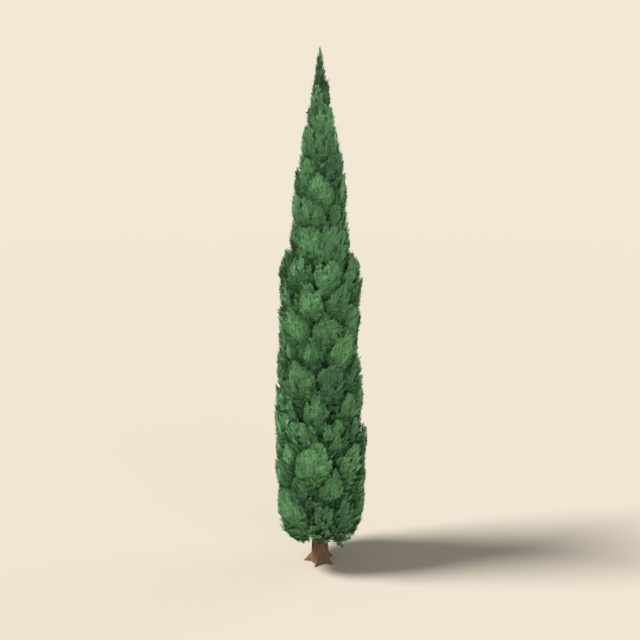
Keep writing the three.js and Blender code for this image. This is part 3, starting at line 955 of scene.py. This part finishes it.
def leaf_material(name, colour, mottling):
    """Scale leaves: a matt green, a little uneven, with the fine pattern of the scales."""
    material, tree, skin = new_material(name)
    black = (0.0, 0.0, 0.0, 1.0)
    dark = between(black, colour, LEAF_SHADES[0])
    light = between(black, colour, LEAF_SHADES[1])
    place = tree.nodes.new("ShaderNodeTexCoord")
    patches = add_mottling(tree, mottling, dark, light, scale=11.0)
    scales = add_node(tree, "ShaderNodeTexVoronoi", Scale=230.0)
    gloss = add_node(tree, "ShaderNodeMapRange", To_Min=0.6, To_Max=0.8)
    relief = add_node(tree, "ShaderNodeBump", Strength=0.35, Distance=0.002)
    link = tree.links.new
    link(place.outputs["Object"], patches.inputs["Place"])
    link(place.outputs["Object"], scales.inputs["Vector"])
    link(patches.outputs["Colour"], skin.inputs["Base Color"])
    link(patches.outputs["Mask"], gloss.inputs["Value"])
    link(gloss.outputs["Result"], skin.inputs["Roughness"])
    link(scales.outputs["Distance"], relief.inputs["Height"])
    link(relief.outputs["Normal"], skin.inputs["Normal"])
    skin.inputs["Specular IOR Level"].default_value = MATT
    return material


def bark_material(name, dark, light, mottling, scale, stretch, depth):
    """Fibrous bark: patches drawn out into strips along the stem, with a fibrous relief."""
    material, tree, skin = new_material(name)
    place = tree.nodes.new("ShaderNodeTexCoord")
    along = add_node(tree, "ShaderNodeMapping", Scale=(1, 1, stretch))
    patches = add_mottling(tree, mottling, dark, light, scale)
    fibres = add_node(tree, "ShaderNodeTexNoise", Scale=scale * 4, Detail=4.0, Roughness=0.65)
    gloss = add_node(tree, "ShaderNodeMapRange", To_Min=0.95, To_Max=0.75)
    relief = add_node(tree, "ShaderNodeBump", Strength=0.7, Distance=depth)
    link = tree.links.new
    link(place.outputs["Object"], along.inputs["Vector"])
    link(along.outputs["Vector"], patches.inputs["Place"])
    link(along.outputs["Vector"], fibres.inputs["Vector"])
    link(patches.outputs["Colour"], skin.inputs["Base Color"])
    link(patches.outputs["Mask"], gloss.inputs["Value"])
    link(gloss.outputs["Result"], skin.inputs["Roughness"])
    link(fibres.outputs["Fac"], relief.inputs["Height"])
    link(relief.outputs["Normal"], skin.inputs["Normal"])
    skin.inputs["Specular IOR Level"].default_value = MATT
    return material


def leaf_greens(mottling):
    greens = []
    for i in range(GREENS):
        colour = between(DEEPEST_GREEN, LIGHTEST_GREEN, (i / (GREENS - 1)) ** GREEN_CURVE)
        greens.append(leaf_material(f"cypress_green_{i + 1}", colour, mottling))
    return greens


# ---------------------------------------------------------------- stage, light and camera


def make_floor():
    """A pale floor that fades into the backdrop far away."""
    shape = bmesh.new()
    bmesh.ops.create_circle(shape, cap_ends=True, segments=FLOOR_SIDES, radius=FLOOR_FADE[1])
    mesh = bpy.data.meshes.new("studio_floor")
    shape.to_mesh(mesh)
    shape.free()
    material, tree, skin = new_material("pale_floor")
    skin.inputs["Base Color"].default_value = FLOOR
    skin.inputs["Roughness"].default_value = 0.9
    skin.inputs["Specular IOR Level"].default_value = 0.0
    place = tree.nodes.new("ShaderNodeTexCoord")
    distance = tree.nodes.new("ShaderNodeVectorMath")
    distance.operation = "LENGTH"
    near, far = FLOOR_FADE
    fade = add_node(tree, "ShaderNodeMapRange", From_Min=near, From_Max=far, To_Min=1.0, To_Max=0.0)
    tree.links.new(place.outputs["Object"], distance.inputs[0])
    tree.links.new(distance.outputs["Value"], fade.inputs["Value"])
    tree.links.new(fade.outputs["Result"], skin.inputs["Alpha"])
    mesh.materials.append(material)
    link_piece("studio_floor", mesh)


def make_world():
    """Even light from all sides, with a plain backdrop where the camera looks past the floor."""
    world = bpy.data.worlds.new("studio")
    bpy.context.scene.world = world
    world.use_nodes = True
    tree = world.node_tree
    tree.nodes.clear()
    output = tree.nodes.new("ShaderNodeOutputWorld")
    sky = add_node(tree, "ShaderNodeBackground", Color=SKY, Strength=SKY_STRENGTH)
    backdrop = add_node(tree, "ShaderNodeBackground", Color=BACKDROP, Strength=1.0)
    seen = tree.nodes.new("ShaderNodeLightPath")
    either = tree.nodes.new("ShaderNodeMixShader")
    tree.links.new(seen.outputs["Is Camera Ray"], either.inputs[0])
    tree.links.new(sky.outputs[0], either.inputs[1])
    tree.links.new(backdrop.outputs[0], either.inputs[2])
    tree.links.new(either.outputs[0], output.inputs["Surface"])


def make_sun(name, strength, elevation, turn, size):
    """White light from far away, in degrees; its turn is from straight left towards the front."""
    sun = bpy.data.lights.new(name, "SUN")
    sun.energy = strength
    sun.angle = math.radians(size)
    piece = bpy.data.objects.new(name, sun)
    turn = math.radians(turn)
    towards = Vector((-math.cos(turn), -math.sin(turn), math.tan(math.radians(elevation))))
    piece.rotation_euler = towards.to_track_quat("Z", "Y").to_euler()
    bpy.context.scene.collection.objects.link(piece)


def make_camera():
    data = bpy.data.cameras.new("camera")
    data.lens = CAMERA_LENS
    data.sensor_width = CAMERA_SENSOR
    data.clip_end = CAMERA_RANGE
    camera = bpy.data.objects.new("camera", data)
    camera.location = CAMERA_PLACE
    camera.rotation_euler = (math.radians(90 - CAMERA_DIP), 0, 0)
    bpy.context.scene.collection.objects.link(camera)
    bpy.context.scene.camera = camera


# ---------------------------------------------------------------- colours, stage and camera

DEEPEST_GREEN = linear(46, 80, 57)
LIGHTEST_GREEN = linear(112, 164, 106)
GREEN_CURVE = 1.1
LEAF_SHADES = (0.84, 1.16)  # of the patches on the leaves, as shares of their green
BARK_DARK = linear(73, 55, 40)
BARK_LIGHT = linear(108, 82, 58)
SHOOT_DARK = linear(58, 68, 42)
SHOOT_LIGHT = linear(84, 88, 54)
MATT = 0.2  # specular level of leaves and bark

FLOOR = (0.307, 0.275, 0.227, 1.0)
FLOOR_FADE = (30, 60)  # how far out the floor fades into the backdrop
FLOOR_SIDES = 96
BACKDROP = linear(242, 232, 213)
SKY = (1.0, 1.0, 1.0, 1.0)
SKY_STRENGTH = 0.38

CAMERA_PLACE = (0.0, -16.463, 8.79)
CAMERA_DIP = 12.99  # degrees below the horizontal
CAMERA_LENS = 50.0
CAMERA_SENSOR = 36.0
CAMERA_RANGE = 500.0

mottling = mottling_group()
bark = bark_material(
    "cypress_bark", BARK_DARK, BARK_LIGHT, mottling, scale=26.0, stretch=0.12, depth=0.006
)
shoot_bark = bark_material(
    "shoot_bark", SHOOT_DARK, SHOOT_LIGHT, mottling, scale=40.0, stretch=0.3, depth=0.002
)
plumes = plume_layout()
make_trunk(bark)
make_boughs(plumes, shoot_bark)
make_foliage(plumes, leaf_greens(mottling), shoot_bark)

make_floor()
make_world()
make_sun("key_light", strength=9.2, elevation=48.5, turn=6, size=17)
make_sun("front_fill", strength=2.6, elevation=8, turn=115, size=60)
make_sun("rear_fill", strength=0.9, elevation=33, turn=203, size=40)
make_camera()
bpy.context.scene.view_settings.view_transform = "Standard"
